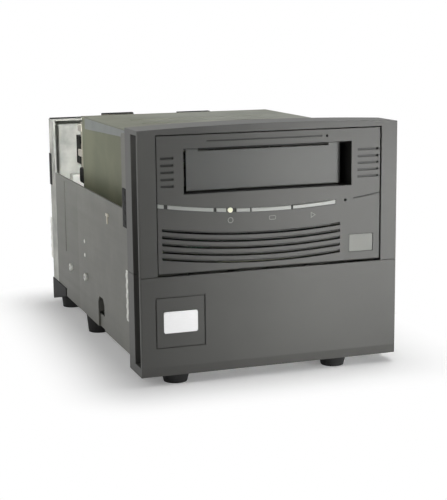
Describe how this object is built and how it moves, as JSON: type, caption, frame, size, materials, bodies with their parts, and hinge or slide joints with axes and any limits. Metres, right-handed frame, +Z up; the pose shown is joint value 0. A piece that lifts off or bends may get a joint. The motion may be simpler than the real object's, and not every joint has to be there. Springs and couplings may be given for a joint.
{
  "type": "tape drive module",
  "caption": "Full-height cartridge tape drive in an open sheet-metal carrier with a moulded front bezel, rear connectors, fan and feet.",
  "frame": {"origin": "on the supporting surface, under the middle of the whole", "axes": "+Z up, +Y from the front bezel to the rear panel, +X to the right as seen from the front"},
  "size_m": [0.1754, 0.2718, 0.161],
  "materials": {
    "bezel_plastic": "fine texture",
    "badge_blank": "satin",
    "galvanised_steel": "satin",
    "black_plastic": "satin",
    "drive_plastic": "fine texture",
    "door_plastic": "fine texture",
    "trim_silver": "satin",
    "cast_metal": "cast",
    "cover_steel": "satin",
    "bright_steel": "bright",
    "reel_plastic": "satin",
    "roller_plastic": "satin",
    "motor_steel": "satin",
    "circuit_board": "satin",
    "board_components": "satin",
    "lamp_lens": "clear",
    "rocker_black": "gloss",
    "socket_shell": "plated",
    "selector_white": "satin",
    "foot_rubber": "matt",
    "gasket_foam": "matt"
  },
  "bodies": {
    "carrier": {"bezel_frame": "bezel_plastic", "bezel_lower_panel": "bezel_plastic", "badge_plate": "badge_blank", "chassis_floor": "galvanised_steel", "left_side_wall": "galvanised_steel", "right_side_wall": "galvanised_steel", "rear_panel": "galvanised_steel", "drive_shelf": "galvanised_steel", "receiver_side_plates": "galvanised_steel", "supply_case": "galvanised_steel", "side_guides": "black_plastic", "rear_corner_guides": "black_plastic", "power_inlet": "black_plastic", "switch_frame": "black_plastic", "fan_frame": "black_plastic", "address_selector": "black_plastic", "drive_rear_sockets": "black_plastic", "drive_bezel": "drive_plastic", "trim_strip": "trim_silver", "drive_casting": "cast_metal", "deck": "cast_metal", "head_bridge": "cast_metal", "drive_cover": "cover_steel", "door_pin": "bright_steel", "deck_pins": "bright_steel", "contact_springs": "bright_steel", "small_screws": "bright_steel", "large_screws": "bright_steel", "jack_posts": "bright_steel", "reel_motors": "motor_steel", "head_motor": "motor_steel", "main_board": "circuit_board", "lamp_board": "circuit_board", "supply_board": "circuit_board", "board_parts": "board_components", "supply_parts": "board_components", "lamp_lens": "lamp_lens", "data_sockets": "socket_shell", "front_feet": "foot_rubber", "rear_feet": "foot_rubber", "rear_top_gaskets": "gasket_foam"},
    "door": {"receiver_door": "door_plastic"},
    "eject_key": {"eject_button": "trim_silver"},
    "rocker": {"power_switch": "rocker_black"},
    "fan_blades": {"fan_rotor": "black_plastic"},
    "receiver": {"cartridge_receiver": "bright_steel"},
    "hub": {"supply_hub": "reel_plastic"},
    "reel": {"takeup_reel": "reel_plastic"},
    "roller_1": {"guide_roller_1": "roller_plastic"},
    "roller_2": {"guide_roller_2": "roller_plastic"},
    "roller_3": {"guide_roller_3": "roller_plastic"},
    "roller_4": {"guide_roller_4": "roller_plastic"},
    "head": {"head_carriage": "cast_metal", "tape_head": "bright_steel"},
    "lead_screw": {"head_lead_screw": "bright_steel"},
    "button_down": {"address_button_down": "selector_white"},
    "button_up": {"address_button_up": "selector_white"},
    "digit_wheel": {"address_wheel": "selector_white"}
  },
  "joints": [
    {"name": "door_hinge", "type": "hinge", "parent": "carrier", "child": "door", "pos_m": [-0.0014, -0.12535, 0.1458], "axis": [1, 0, 0], "range_deg": [0, 86], "stiffness_Nm_per_rad": 0.004},
    {"name": "eject_press", "type": "slide", "parent": "carrier", "child": "eject_key", "axis": [0, 1, 0], "range_m": [0, 0.0008], "stiffness_N_per_m": 500},
    {"name": "power_rocker", "type": "hinge", "parent": "carrier", "child": "rocker", "pos_m": [0.06945, 0.12645, 0.0356], "axis": [1, 0, 0], "range_deg": [0, 14]},
    {"name": "fan_spin", "type": "hinge", "parent": "carrier", "child": "fan_blades", "pos_m": [0.022, 0.11625, 0.104], "axis": [0, 1, 0], "continuous": true},
    {"name": "receiver_lowering", "type": "slide", "parent": "carrier", "child": "receiver", "axis": [0, 0, 1], "range_m": [-0.0025, 0], "stiffness_N_per_m": 400},
    {"name": "hub_spin", "type": "hinge", "parent": "carrier", "child": "hub", "pos_m": [-0.0014, -0.05155, 0.1105], "axis": [0, 0, 1], "continuous": true},
    {"name": "reel_spin", "type": "hinge", "parent": "carrier", "child": "reel", "pos_m": [-0.024, 0.02945, 0.1105], "axis": [0, 0, 1], "continuous": true},
    {"name": "roller_1_spin", "type": "hinge", "parent": "carrier", "child": "roller_1", "pos_m": [0.06, -0.00055, 0.132], "axis": [0, 0, 1], "continuous": true},
    {"name": "roller_2_spin", "type": "hinge", "parent": "carrier", "child": "roller_2", "pos_m": [0.06, 0.03445, 0.132], "axis": [0, 0, 1], "continuous": true},
    {"name": "roller_3_spin", "type": "hinge", "parent": "carrier", "child": "roller_3", "pos_m": [0.046, 0.05045, 0.132], "axis": [0, 0, 1], "continuous": true},
    {"name": "roller_4_spin", "type": "hinge", "parent": "carrier", "child": "roller_4", "pos_m": [0.025, 0.05445, 0.132], "axis": [0, 0, 1], "continuous": true},
    {"name": "lead_screw_turn", "type": "hinge", "parent": "carrier", "child": "lead_screw", "pos_m": [0.046, 0.01645, 0.126], "axis": [0, 0, 1], "range_deg": [-1085, 1085]},
    {"name": "head_lift", "type": "slide", "parent": "carrier", "child": "head", "axis": [0, 0, 1], "range_m": [-0.003, 0.003]},
    {"name": "address_down_press", "type": "slide", "parent": "carrier", "child": "button_down", "axis": [0, -1, 0], "range_m": [0, 0.0015], "stiffness_N_per_m": 300},
    {"name": "address_up_press", "type": "slide", "parent": "carrier", "child": "button_up", "axis": [0, -1, 0], "range_m": [0, 0.0015], "stiffness_N_per_m": 300},
    {"name": "address_wheel_turn", "type": "hinge", "parent": "carrier", "child": "digit_wheel", "pos_m": [-0.0595, 0.12445, 0.123], "axis": [1, 0, 0], "continuous": true}
  ],
  "couplings": [
    {"joint": "lead_screw_turn", "follows": "head_lift", "rad_per_m": -6283.2}
  ]
}
